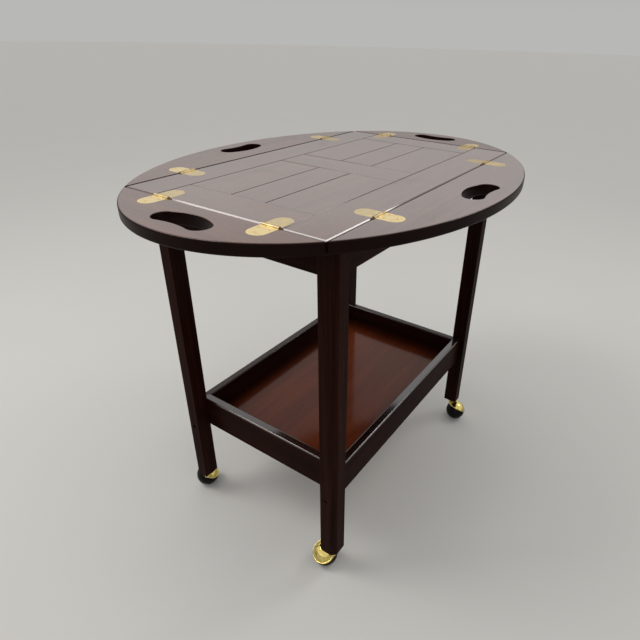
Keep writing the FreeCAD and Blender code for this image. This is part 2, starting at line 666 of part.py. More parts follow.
def caster_wheel():
    """Part of the ball below the split, which turns on the axle and takes the axle's head at its pole."""
    ball = Part.makeSphere(BALL_RADIUS, BALL_CENTRE)
    wheel = ball.common(half_space(HOOD_SPLIT - HOOD_WHEEL_GAP / 2, -1))
    pole = along_axle(-BALL_RADIUS)
    bore = rod(pole, AXLE_WAY, AXLE_RADIUS + RUNNING_CLEARANCE, BALL_RADIUS + HOOD_SPLIT)
    recess = rod(pole, AXLE_WAY, AXLE_HEAD_RADIUS + KNUCKLE_CLEARANCE, AXLE_HEAD_DEPTH)
    return wheel.cut([bore, recess])


def caster_axle():
    """Headed pin, fixed in the hood, on which the wheel runs."""
    head_top = AXLE_HEAD_DEPTH - BALL_RADIUS - AXLE_END_PLAY
    pin_start = along_axle(head_top)
    pin = rod(pin_start, AXLE_WAY, AXLE_RADIUS, BALL_RADIUS - HOOD_WALL - head_top)
    head = rod(along_axle(head_top - AXLE_HEAD_HEIGHT), AXLE_WAY, AXLE_HEAD_RADIUS, AXLE_HEAD_HEIGHT)
    return pin.fuse(head)


def caster_stem():
    """Plain stem, riveted in the hood, that swivels in the leg's socket."""
    return rod(Vector(0, 0, STEM_BOTTOM), UP, STEM_RADIUS, STEM_TOP - STEM_BOTTOM)


def build_casters():
    """One caster under each leg, of its hand and turned the way it trails."""
    pieces = {"hood": caster_hood(), "wheel": caster_wheel(), "axle": caster_axle(), "stem": caster_stem()}
    for corner, (x_sign, y_sign) in CORNERS.items():
        for piece, shape in pieces.items():
            trail, hand = CASTER_WAYS[corner]
            placed = shape.copy() if hand > 0 else shape.mirror(ORIGIN, Vector(0, 1, 0))
            placed.rotate(ORIGIN, UP, trail)
            placed.translate(Vector(x_sign * LEG_MIDDLE_X, y_sign * LEG_MIDDLE_Y, 0))
            save("caster_" + piece + "_" + corner, [placed])


os.makedirs("parts", exist_ok=True)
build_tray_top()
build_stand()
build_casters()
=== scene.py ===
"""Finishes, caster trim, light and camera for the oval butler's tray table.

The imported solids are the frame. This script gives each of them its finish, adds the thin brass trim of
the ball casters, and sets the table on a pale studio floor. Metres throughout.
"""

from __future__ import annotations

import json
import logging
import math
from dataclasses import dataclass, field
from enum import Enum, IntEnum
from typing import Any, Callable, Iterable, Optional, Union

import bpy
from mathutils import Matrix, Vector

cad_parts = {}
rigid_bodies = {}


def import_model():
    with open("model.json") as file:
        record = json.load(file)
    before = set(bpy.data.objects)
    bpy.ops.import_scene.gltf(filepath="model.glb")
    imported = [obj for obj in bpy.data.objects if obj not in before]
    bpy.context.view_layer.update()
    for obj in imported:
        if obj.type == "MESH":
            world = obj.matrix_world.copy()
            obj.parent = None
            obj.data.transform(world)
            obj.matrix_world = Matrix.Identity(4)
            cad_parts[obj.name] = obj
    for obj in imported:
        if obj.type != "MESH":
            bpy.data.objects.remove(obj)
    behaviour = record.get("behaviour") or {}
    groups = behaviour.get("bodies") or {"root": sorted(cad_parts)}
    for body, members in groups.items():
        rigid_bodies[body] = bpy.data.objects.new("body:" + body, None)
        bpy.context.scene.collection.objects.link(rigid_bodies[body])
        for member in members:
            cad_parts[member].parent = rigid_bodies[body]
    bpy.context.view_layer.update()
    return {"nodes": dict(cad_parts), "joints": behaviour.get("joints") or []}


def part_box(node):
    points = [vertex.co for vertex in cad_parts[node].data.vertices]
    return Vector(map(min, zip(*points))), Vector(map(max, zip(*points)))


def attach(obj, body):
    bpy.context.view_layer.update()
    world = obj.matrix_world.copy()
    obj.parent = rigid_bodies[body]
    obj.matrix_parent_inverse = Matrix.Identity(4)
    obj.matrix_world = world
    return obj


LOG = logging.getLogger("tray_table")
# The picture's side in pixels and the camera's sensor in millimetres.
IMAGE_SIDE = 640
SENSOR_WIDTH = 36.0
UPWARDS = (0.0, 0.0, 1.0)
# A board's patterns move by this many repeats times its number, in these shares on X, Y and Z.
PATTERN_STEP = 3.7
PATTERN_SHIFT = (1.0, 0.7, 1.3)
# Edges are picked by their place to this margin, and points nearer than the merge distance become one.
PICK_MARGIN = 0.0001
MERGE_DISTANCE = 0.00001

Colour = tuple[float, float, float]
Triple = tuple[float, float, float]
Range = tuple[float, float]
Number = Union[float, "Signal"]
Inputs = dict[Union[int, str], Any]


class Axis(IntEnum):
    """The table's axes, by their places in a point."""

    X = 0
    Y = 1
    Z = 2


class Grain(Enum):
    """The way a board's grain runs: the turn that brings that way onto the pattern's X axis."""

    ALONG = (0.0, 0.0, 0.0)
    ACROSS = (0.0, 0.0, math.pi / 2)
    UPRIGHT = (0.0, math.pi / 2, 0.0)


class Corner(Enum):
    """The four corners of the stand."""

    FRONT_LEFT = "front_left"
    FRONT_RIGHT = "front_right"
    BACK_LEFT = "back_left"
    BACK_RIGHT = "back_right"


class Side(Enum):
    """The four sides of the table, with the way that the boards along that side run."""

    FRONT = ("front", Grain.ALONG)
    BACK = ("back", Grain.ALONG)
    LEFT = ("left", Grain.ACROSS)
    RIGHT = ("right", Grain.ACROSS)

    @property
    def label(self) -> str:
        """The side's name as the solids use it."""
        return self.value[0]

    @property
    def grain(self) -> Grain:
        """The way that boards along this side run."""
        return self.value[1]


@dataclass(frozen=True)
class Pattern:
    """Soft noise: its repeats per metre on each axis, how busy it is, and how it is turned.

    A pattern without a turn of its own follows the grain.
    """

    repeats: Triple
    detail: float = 2.0
    roughness: float = 0.5
    distortion: float = 0.0
    turn: Optional[Triple] = None

    @classmethod
    def grained(cls, length: float, width: float, **busy: float) -> "Pattern":
        """A pattern of marks with a length along the grain and a width across it."""
        return cls((1 / length, 1 / width, 1 / width), **busy)


class Signal:
    """A number that varies over a surface. Arithmetic on it adds Math nodes to its material."""

    def __init__(self, shader: "Shader", socket: bpy.types.NodeSocket) -> None:
        """Wraps one output socket of a material's nodes."""
        self.shader = shader
        self.socket = socket

    def __add__(self, other: Number) -> "Signal":
        """Sum."""
        return self.shader.math("ADD", self, other)

    def __radd__(self, other: Number) -> "Signal":
        """Sum with a plain number on the left."""
        return self.shader.math("ADD", other, self)

    def __sub__(self, other: Number) -> "Signal":
        """Difference."""
        return self.shader.math("SUBTRACT", self, other)

    def __rsub__(self, other: Number) -> "Signal":
        """Difference from a plain number."""
        return self.shader.math("SUBTRACT", other, self)

    def __mul__(self, other: Number) -> "Signal":
        """Product."""
        return self.shader.math("MULTIPLY", self, other)

    def __rmul__(self, other: Number) -> "Signal":
        """Product with a plain number on the left."""
        return self.shader.math("MULTIPLY", other, self)

    def __abs__(self) -> "Signal":
        """Size without the sign."""
        return self.shader.math("ABSOLUTE", self)

    def or_more(self, other: "Signal") -> "Signal":
        """The larger of two signals."""
        return self.shader.math("MAXIMUM", self, other)

    def above(self, level: float) -> "Signal":
        """1 where it is above a level, 0 elsewhere."""
        return self.shader.math("GREATER_THAN", self, level)

    def near(self, place: float, reach: float, full: float = 0.6) -> "Signal":
        """1 up to a share of the reach to each side of a place, fading to 0 at the reach."""
        return abs(self - place).between(reach, reach * full)

    def between(self, low: float, high: float) -> "Signal":
        """0 at low, 1 at high, smooth in between.

        Args:
            low: The value that gives 0.
            high: The value that gives 1, which may be the smaller one.

        Returns:
            The eased share.
        """
        settings = {"interpolation_type": "SMOOTHSTEP"}
        inputs = {0: self, 1: low, 2: high, 3: 0.0, 4: 1.0}
        node = self.shader.node("ShaderNodeMapRange", settings, inputs)
        return Signal(self.shader, node.outputs[0])


class Shader:
    """The node tree of one material or of the sky, with the few moves that they need."""

    def __init__(self, owner: Union[bpy.types.Material, bpy.types.World]) -> None:
        """Starts from the one shader that a new material or sky holds.

        Args:
            owner: The material or the sky.
        """
        owner.use_nodes = True
        self.owner = owner
        self.nodes = owner.node_tree.nodes
        self.links = owner.node_tree.links
        surfaces = ("BSDF_PRINCIPLED", "BACKGROUND")
        self.surface = next(node for node in self.nodes if node.type in surfaces)

    @classmethod
    def named(cls, name: str) -> "Shader":
        """Starts a new material."""
        return cls(bpy.data.materials.new(name))

    def node(self, kind: str, settings: Optional[dict[str, Any]] = None,
             inputs: Optional[Inputs] = None) -> bpy.types.Node:
        """Adds a node.

        Args:
            kind: The node's type.
            settings: Its own settings by name; stops gives a colour ramp's places and colours.
            inputs: Values, signals or sockets for its input sockets, by number or name.

        Returns:
            The new node.
        """
        made = self.nodes.new(kind)
        for key, value in (settings or {}).items():
            if key == "stops":
                self._set_stops(made, value)
            else:
                setattr(made, key, value)
        for key, value in (inputs or {}).items():
            self.feed(made.inputs[key], value)
        return made

    @staticmethod
    def _set_stops(ramp: bpy.types.Node, stops: Iterable[tuple[float, Colour]]) -> None:
        """Gives a colour ramp its stops.

        Args:
            ramp: The ramp's node.
            stops: The place and the colour of each stop.
        """
        stops = list(stops)
        elements = ramp.color_ramp.elements
        while len(elements) < len(stops):
            elements.new(1.0)
        for element, (place, colour) in zip(elements, stops):
            element.position = place
            element.color = (*colour, 1.0)

    def feed(self, socket: bpy.types.NodeSocket, value: Any) -> None:
        """Links a signal or socket to an input, or sets a plain value on it.

        Args:
            socket: The input.
            value: What goes into it.
        """
        if isinstance(value, Signal):
            self.links.new(value.socket, socket)
        elif isinstance(value, bpy.types.NodeSocket):
            self.links.new(value, socket)
        elif socket.type == "RGBA" and len(value) == 3:
            socket.default_value = (*value, 1.0)
        else:
            socket.default_value = value

    def math(self, operation: str, *values: Number) -> Signal:
        """A Math node on signals and plain numbers."""
        node = self.node("ShaderNodeMath", {"operation": operation}, dict(enumerate(values)))
        return Signal(self, node.outputs[0])

    def place(self) -> bpy.types.NodeSocket:
        """The point on the surface, in the table's own frame."""
        return self.node("ShaderNodeTexCoord").outputs["Object"]

    def axes(self) -> list[Signal]:
        """The point's X, Y and Z as signals."""
        node = self.node("ShaderNodeSeparateXYZ", None, {0: self.place()})
        return [Signal(self, output) for output in node.outputs]

    def noise(self, pattern: Pattern, grain: Grain = Grain.ALONG, shift: float = 0.0) -> Signal:
        """Soft noise over the surface.

        Args:
            pattern: Its repeats and how busy it is.
            grain: The way of the grain, for a pattern that follows it.
            shift: How far the pattern is moved along all axes, in repeats.

        Returns:
            The noise, from about 0.2 to 0.8.
        """
        turn = grain.value if pattern.turn is None else pattern.turn
        settings = {"vector_type": "POINT"}
        turned = self.node("ShaderNodeMapping", settings, {"Vector": self.place(), "Rotation": turn})
        spaced = self.node("ShaderNodeMapping", settings, {
            "Vector": turned.outputs[0],
            "Scale": pattern.repeats,
            "Location": tuple(shift * share for share in PATTERN_SHIFT),
        })
        made = self.node("ShaderNodeTexNoise", None, {
            "Vector": spaced.outputs[0],
            "Scale": 1.0,
            "Detail": pattern.detail,
            "Roughness": pattern.roughness,
            "Distortion": pattern.distortion,
        })
        return Signal(self, made.outputs[0])

    def blend(self, share: Number, first: Any, second: Any) -> bpy.types.NodeSocket:
        """Colour between two colours."""
        node = self.node("ShaderNodeMix", {"data_type": "RGBA"}, {0: share, 6: first, 7: second})
        return node.outputs[2]

    def relief(self, height: Signal, depth: float,
               normal: Optional[bpy.types.NodeSocket] = None) -> None:
        """Feeds the surface's normal with a bump.

        Args:
            height: The relief, from 0 to 1.
            depth: How deep a height of 1 is.
            normal: A normal to start from, if not the mesh's own.
        """
        inputs: Inputs = {"Strength": 1.0, "Distance": depth, "Height": height}
        if normal is not None:
            inputs["Normal"] = normal
        bump = self.node("ShaderNodeBump", None, inputs)
        self.feed(self.surface.inputs["Normal"], bump.outputs[0])

    def set(self, **inputs: Any) -> None:
        """Sets or links inputs of the surface's shader, with underscores for spaces."""
        for key, value in inputs.items():
            self.feed(self.surface.inputs[key.replace("_", " ")], value)


@dataclass(frozen=True)
class Board:
    """One board of the table, or a few side by side in one solid.

    The number shifts the figure, so that no two boards look alike. The face is the height of its
    polished upper face, and fade holds the depths below it between which painted shade darkens its
    sides.
    Each groove is an axis and the place on it where the board meets its neighbour. Middle plank is the
    width of the middle one of three planks. Worn is the share of the lacquer's shine that handling took
    off. Framed holds the places of the right wall and the back wall that stand on the board, if any.
    """

    name: str
    number: int
    grain: Grain
    face: Optional[float] = None
    fade: Range = (0.0022, 0.0032)
    grooves: tuple[tuple[Axis, float], ...] = ()
    middle_plank: float = 0.0
    worn: float = 0.0
    framed: Optional[tuple[float, float]] = None


@dataclass(frozen=True)
class LacqueredWood:
    """Stained mahogany under lacquer: ribbon figure, fine dark pores, smudges, rubbed edges and painted
    shade.

    A range holds the values at which a mark starts and is full, and a share says how much of it shows.
    Plank steps are the changes of tone from the front plank to the middle one, and from there to the
    back one.
    """

    deep: Colour
    warm: Colour
    rubbed: Colour
    gloss: float
    coat: float
    coat_gloss: float
    specular: float
    coat_ior: float = 1.5
    # Dark joints in the grooves, and painted shade on the sides below the face.
    joint_stain_and_side_shade: Colour = (0.005, 0.0019, 0.0015)
    side_share: float = 0.9
    side_coat: float = 0.05
    groove_reach: float = 0.0013
    groove_share: float = 0.5
    groove_dull: float = 0.64
    figure_length: float = 0.30
    figure_width: float = 0.022
    figure_range: Range = (0.30, 0.72)
    streaks_along: float = 2.0
    streaks_across: float = 6.0
    streak_range: Range = (0.35, 0.70)
    streak_share: float = 0.35
    board_spread: float = 0.11
    board_rhythm: float = 2.3
    plank_steps: tuple[float, float] = (-0.10, 0.16)
    pore_length: float = 0.014
    pore_width: float = 0.0007
    pore_range: Range = (0.60, 0.72)
    pore_share: float = 0.55
    pore_shade: float = 0.35
    pore_rough: float = 0.08
    pore_relief: float = 0.6
    pore_depth: float = 0.00006
    smudges: Pattern = Pattern((9.0, 9.0, 9.0), detail=4.0, roughness=0.6, distortion=0.4,
                               turn=(0.4, 0.2, 0.9))
    smudge_rough: float = 0.10
    dull_range: Range = (0.55, 0.80)
    dull_share: float = 0.12
    edge_round: float = 0.0009
    edge_samples: int = 6
    edge_range: Range = (0.985, 0.86)
    rub_range: Range = (0.35, 0.65)
    rub_share: float = 0.55
    # Painted shade along the shelf floor's right and back walls, for the walls' shadow and dark
    # reflection.
    painted_wall_shade: Colour = (0.012, 0.0022, 0.0009)
    wall_shade_reach: float = 0.070
    wall_shade_share: float = 0.92

    def material(self, board: Board) -> bpy.types.Material:
        """Makes the finish for one board.

        Args:
            board: The board.

        Returns:
            The material.
        """
        shader = Shader.named("lacquer_" + board.name)
        shift = PATTERN_STEP * board.number
        colour = shader.blend(self._tone(shader, board, shift), self.deep, self.warm)
        pore_pattern = Pattern.grained(self.pore_length, self.pore_width, detail=1.0)
        pores = shader.noise(pore_pattern, board.grain, shift).between(*self.pore_range)
        pore_colour = tuple(part * self.pore_shade for part in self.deep)
        colour = shader.blend(pores * self.pore_share, colour, pore_colour)
        smudge = shader.noise(self.smudges, board.grain, shift)
        edge, rounded = self._edges(shader)
        rub = edge * smudge.between(*self.rub_range)
        colour = shader.blend(rub * self.rub_share, colour, self.rubbed)
        shine = self.coat * (1 - board.worn) * (1 - smudge.between(*self.dull_range) * self.dull_share)
        if board.grooves:
            groove = self._grooves(shader, board)
            colour = shader.blend(groove * self.groove_share, colour, self.joint_stain_and_side_shade)
            shine = shine * (1 - groove * self.groove_dull)
        # Painted shade: below the polished face the sides (rims, hand-hole walls, the lower part of seam
        # arrises) are painted dark and lose their coat.
        if board.face is not None:
            start, full = board.fade
            side = shader.axes()[Axis.Z].between(board.face - start, board.face - full)
            colour = shader.blend(side * self.side_share, colour, self.joint_stain_and_side_shade)
            shine = shine * (1 - side) + side * self.side_coat
        # Painted shade: a dark strip along the right and back walls of the shelf floor.
        if board.framed is not None:
            strip = self._along_walls(shader, board.framed)
            colour = shader.blend(strip * self.wall_shade_share, colour, self.painted_wall_shade)
        rough = self.gloss + smudge * self.smudge_rough + pores * self.pore_rough
        shader.set(Base_Color=colour, Roughness=rough, Coat_Weight=shine, Coat_Roughness=self.coat_gloss,
                   Coat_IOR=self.coat_ior, Specular_IOR_Level=self.specular)
        shader.relief(1 - pores * self.pore_relief, self.pore_depth, rounded)
        return shader.owner

    def _tone(self, shader: Shader, board: Board, shift: float) -> Signal:
        """The wood's tone, from about 0 for the deep stain to about 1 for the warm one.

        Args:
            shader: The material that it is for.
            board: The board.
            shift: How far this board's patterns are moved, in repeats.

        Returns:
            The tone, with the board's own step and its planks' steps.
        """
        length, width = self.figure_length, self.figure_width
        ribbons = Pattern.grained(length, width, detail=4.0, roughness=0.55, distortion=0.7)
        fine = Pattern.grained(length / self.streaks_along, width / self.streaks_across, distortion=0.2)
        figure = shader.noise(ribbons, board.grain, shift).between(*self.figure_range)
        streak = shader.noise(fine, board.grain, shift).between(*self.streak_range)
        tone = figure * (1 - self.streak_share) + streak * self.streak_share
        tone = tone + self.board_spread * math.sin(board.number * self.board_rhythm)
        if board.middle_plank:
            across = shader.axes()[Axis.Y]
            half = board.middle_plank / 2
            to_middle, to_back = self.plank_steps
            tone = tone + across.above(half) * to_back + across.above(-half) * to_middle
        return tone

    def _grooves(self, shader: Shader, board: Board) -> Signal:
        """The places where a board meets its neighbours.

        Args:
            shader: The material that it is for.
            board: The board, with one groove or more.

        Returns:
            A mask that is 1 there.
        """
        point = shader.axes()
        grooves = [point[axis].near(place, self.groove_reach) for axis, place in board.grooves]
        mask = grooves[0]
        for groove in grooves[1:]:
            mask = mask.or_more(groove)
        return mask

    def _along_walls(self, shader: Shader, framed: tuple[float, float]) -> Signal:
        """The strip along a floor's right and back walls, painted dark as the walls' shade and dark
        reflection.

        Args:
            shader: The material that it is for.
            framed: The right wall's place on X and the back wall's place on Y.

        Returns:
            A mask that is 1 at the walls and fades out away from them.
        """
        point = shader.axes()
        right = point[Axis.X].between(framed[0] - self.wall_shade_reach, framed[0])
        back = point[Axis.Y].between(framed[1] - self.wall_shade_reach, framed[1])
        return right.or_more(back)

    def _edges(self, shader: Shader) -> tuple[Signal, bpy.types.NodeSocket]:
        """The slight rounding of the board's edges.

        Args:
            shader: The material that it is for.

        Returns:
            A mask that is 1 on the edges, and the rounded normal.
        """
        settings = {"samples": self.edge_samples}
        rounded = shader.node("ShaderNodeBevel", settings, {"Radius": self.edge_round}).outputs[0]
        flat = shader.node("ShaderNodeNewGeometry").outputs["Normal"]
        agree = shader.node("ShaderNodeVectorMath", {"operation": "DOT_PRODUCT"}, {0: rounded, 1: flat})
        mask = Signal(shader, agree.outputs["Value"]).between(*self.edge_range)
        return mask, rounded


@dataclass(frozen=True)
class OiledWood:
    """Stained wood without lacquer, for the parts under the top.

    Ranges and shares are as for lacquered wood.
    """

    deep: Colour
    warm: Colour
    dust: Colour
    gloss: float = 0.55
    specular: float = 0.3
    ribbons: Pattern = Pattern((5.0, 70.0, 70.0), detail=4.0, roughness=0.6, distortion=0.6)
    figure_range: Range = (0.30, 0.70)
    fibres: Pattern = Pattern((60.0, 1300.0, 1300.0))
    fibre_rough: float = 0.25
    fibre_depth: float = 0.00012
    dusting: Pattern = Pattern((14.0, 14.0, 14.0), detail=4.0, roughness=0.6, turn=(0.3, 0.5, 0.1))
    dust_range: Range = (0.55, 0.80)
    dust_share: float = 0.25

    def material(self, name: str, grain: Grain) -> bpy.types.Material:
        """Makes the finish.

        Args:
            name: The material's name.
            grain: The way that the grain runs.

        Returns:
            The material.
        """
        shader = Shader.named(name)
        figure = shader.noise(self.ribbons, grain).between(*self.figure_range)
        fibre = shader.noise(self.fibres, grain)
        dust = shader.noise(self.dusting).between(*self.dust_range) * self.dust_share
        colour = shader.blend(dust, shader.blend(figure, self.deep, self.warm), self.dust)
        shader.set(Base_Color=colour, Roughness=self.gloss + fibre * self.fibre_rough,
                   Specular_IOR_Level=self.specular)
        shader.relief(fibre, self.fibre_depth)
        return shader.owner


@dataclass(frozen=True)
class Brass:
    """Brass with a lacquered sheen, fine polishing lines, tarnished patches, painted shade and painted
    reflection.

    The brass turns darker and duller towards the right. What stands above a face, the hinge knuckles, is
    painted darker and duller as painted shade that dims its highlights. The far range holds the places
    on
    X, and the raised range the heights above the face, between which the two grow. The other ranges and
    the shares are as for lacquered wood.
    """

    bright: Colour
    pale: Colour
    tarnish_and_shade_colour: Colour
    gloss: float
    line_length: float
    line_width: float
    tarnish_and_reflection_share: float
    line_depth: float
    right_darkening: float = 0.0
    far_range: Range = (-0.22, 0.30)
    raised_shade: float = 0.6
    raised_range: Range = (0.0003, 0.0014)
    line_range: Range = (0.30, 0.70)
    line_rough_range: Range = (0.30, 0.80)
    line_rough: float = 0.10
    tarnish_and_shade_rough: float = 0.22
    clouds: Pattern = Pattern((85.0, 85.0, 85.0), detail=4.0, roughness=0.6, distortion=0.5,
                              turn=(0.5, 0.3, 0.2))
    cloud_range: Range = (0.50, 0.78)
    specks: Pattern = Pattern((420.0, 420.0, 420.0), turn=(0.1, 0.7, 0.4))
    speck_range: Range = (0.66, 0.76)
    speck_share: float = 0.8

    def material(self, name: str, grain: Grain, face: Optional[float] = None) -> bpy.types.Material:
        """Makes the finish.

        Args:
            name: The material's name.
            grain: The way that the polishing lines run.
            face: The height of the face that the brass is let into, if what stands above that is dulled
                and painted darker as shade.

        Returns:
            The material.
        """
        shader = Shader.named(name)
        polishing = Pattern.grained(self.line_length, self.line_width, detail=3.0, roughness=0.6)
        lines = shader.noise(polishing, grain)
        colour = shader.blend(lines.between(*self.line_range), self.bright, self.pale)
        cloud = shader.noise(self.clouds).between(*self.cloud_range)
        speck = shader.noise(self.specks).between(*self.speck_range)
        # Cloudy patches and specks: real tarnishing on the hinge brass, painted dark reflection on the
        # caster brass.
        stain = cloud * self.tarnish_and_reflection_share + speck * self.tarnish_and_reflection_share * self.speck_share
        # Darker and duller towards the right.
        if self.right_darkening:
            stain = stain + shader.axes()[Axis.X].between(*self.far_range) * self.right_darkening
        # Painted shade: what stands above the face, the hinge knuckles, is painted darker and duller to
        # dim its highlights.
        if face is not None:
            start, full = self.raised_range
            raised = shader.axes()[Axis.Z].between(face + start, face + full)
            stain = stain + raised * self.raised_shade
        rough = self.gloss + lines.between(*self.line_rough_range) * self.line_rough
        rough = rough + stain * self.tarnish_and_shade_rough
        shader.set(Base_Color=shader.blend(stain, colour, self.tarnish_and_shade_colour), Metallic=1.0, Roughness=rough)
        shader.relief(lines, self.line_depth)
        return shader.owner


@dataclass(frozen=True)
class HardBlack:
    """Black moulded wheel, scuffed where it rolls. Ranges and shares are as for lacquered wood."""

    black: Colour
    scuff: Colour
    gloss: float = 0.28
    specular: float = 0.09
    rubbing: Pattern = Pattern((160.0, 160.0, 160.0), detail=5.0, roughness=0.65, distortion=0.4,
                               turn=(0.2, 0.4, 0.6))
    scuff_range: Range = (0.52, 0.75)
    scuff_share: float = 0.5
    scuff_rough: float = 0.30
    moulding: Pattern = Pattern((1500.0, 1500.0, 1500.0))
    moulding_rough: float = 0.06
    moulding_depth: float = 0.00004

    def material(self, name: str) -> bpy.types.Material:
        """Makes the finish.

        Args:
            name: The material's name.

        Returns:
            The material.
        """
        shader = Shader.named(name)
        scuffed = shader.noise(self.rubbing).between(*self.scuff_range)
        fine = shader.noise(self.moulding)
        shader.set(Base_Color=shader.blend(scuffed * self.scuff_share, self.black, self.scuff),
                   Roughness=self.gloss + scuffed * self.scuff_rough + fine * self.moulding_rough,
                   Specular_IOR_Level=self.specular)
        shader.relief(fine, self.moulding_depth)
        return shader.owner


@dataclass(frozen=True)
class PlatedSteel:
    """Zinc plated steel for screws, sockets, stems and axles, clouded and with fine turning lines."""

    bright: Colour
    dull: Colour
    gloss: float = 0.26
    clouds: Pattern = Pattern((240.0, 240.0, 240.0), detail=4.0, roughness=0.6, turn=(0.3, 0.1, 0.8))
    cloud_range: Range = (0.35, 0.70)
    cloud_rough: float = 0.22
    turning: Pattern = Pattern((300.0, 300.0, 3000.0))
    turning_rough: float = 0.08
    turning_depth: float = 0.00003

    def material(self, name: str) -> bpy.types.Material:
        """Makes the finish.

        Args:
            name: The material's name.

        Returns:
            The material.
        """
        shader = Shader.named(name)
        cloud = shader.noise(self.clouds)
        turned = shader.noise(self.turning)
        colour = shader.blend(cloud.between(*self.cloud_range), self.bright, self.dull)
        rough = self.gloss + cloud * self.cloud_rough + turned * self.turning_rough
        shader.set(Base_Color=colour, Metallic=1.0, Roughness=rough)
        shader.relief(turned, self.turning_depth)
        return shader.owner


TOP_LACQUER = LacqueredWood(
    deep=(0.062, 0.0200, 0.0142), warm=(0.120, 0.0415, 0.0235), rubbed=(0.16, 0.050, 0.030),
    gloss=0.30, coat=1.0, coat_gloss=0.10, coat_ior=1.8, specular=0.04,
    side_share=0.96, side_coat=0.012, edge_round=0.0012)
STAND_LACQUER = LacqueredWood(
    deep=(0.0058, 0.0014, 0.0009), warm=(0.023, 0.0062, 0.0036), rubbed=(0.060, 0.017, 0.010),
    gloss=0.40, coat=0.022, coat_gloss=0.14, specular=0.02)
WALL_LACQUER = LacqueredWood(
    deep=(0.0062, 0.0015, 0.0010), warm=(0.025, 0.0066, 0.0038), rubbed=(0.060, 0.017, 0.010),
    gloss=0.40, coat=1.0, coat_gloss=0.10, coat_ior=2.2, specular=0.02,
    joint_stain_and_side_shade=(0.012, 0.0031, 0.0019), side_share=0.4, side_coat=0.008)
SHELF_LACQUER = LacqueredWood(
    deep=(0.082, 0.0138, 0.0026), warm=(0.122, 0.0232, 0.0046), rubbed=(0.16, 0.04, 0.02),
    gloss=0.34, coat=0.47, coat_gloss=0.12, specular=0.03, figure_width=0.035)
UNDER_WOOD = OiledWood(deep=(0.040, 0.016, 0.010), warm=(0.105, 0.047, 0.028), dust=(0.22, 0.17, 0.13))
LEAF_BRASS = Brass(
    bright=(0.80, 0.60, 0.25), pale=(0.88, 0.71, 0.38), tarnish_and_shade_colour=(0.40, 0.30, 0.17), gloss=0.24,
    line_length=0.012, line_width=0.0005, line_depth=0.00003, tarnish_and_reflection_share=0.24, right_darkening=0.62)
PANEL_BRASS = Brass(
    bright=(0.60, 0.47, 0.23), pale=(0.68, 0.56, 0.33), tarnish_and_shade_colour=(0.34, 0.26, 0.15), gloss=0.27,
    line_length=0.012, line_width=0.0005, line_depth=0.00003, tarnish_and_reflection_share=0.30, right_darkening=0.62)
# The casters' dark cloudy patches are painted reflection, standing in for the dark room mirrored in the
# brass.
CASTER_BRASS = Brass(
    bright=(0.62, 0.47, 0.11), pale=(0.94, 0.79, 0.30), tarnish_and_shade_colour=(0.10, 0.065, 0.014), gloss=0.06,
    line_length=0.020, line_width=0.0012, line_depth=0.00001, tarnish_and_reflection_share=0.95)
WHEEL_BLACK = HardBlack(black=(0.0035, 0.0035, 0.004), scuff=(0.016, 0.015, 0.014))
ZINC = PlatedSteel(bright=(0.58, 0.57, 0.55), dull=(0.30, 0.29, 0.28))


class Dresser:
    """Gives the frame's solids their finishes and keeps count of them."""

    def __init__(self, nodes: dict[str, bpy.types.Object]) -> None:
        """Takes the frame's solids by name."""
        self.nodes = nodes
        self.undressed = set(nodes)

    def dress(self, names: Iterable[str], material: bpy.types.Material) -> None:
        """Gives solids a finish.

        Args:
            names: The solids' names.
            material: The finish.
        """
        for name in names:
            mesh = self.nodes[name].data
            mesh.materials.clear()
            mesh.materials.append(material)
            self.undressed.discard(name)
            LOG.info("%s: %s", name, material.name)


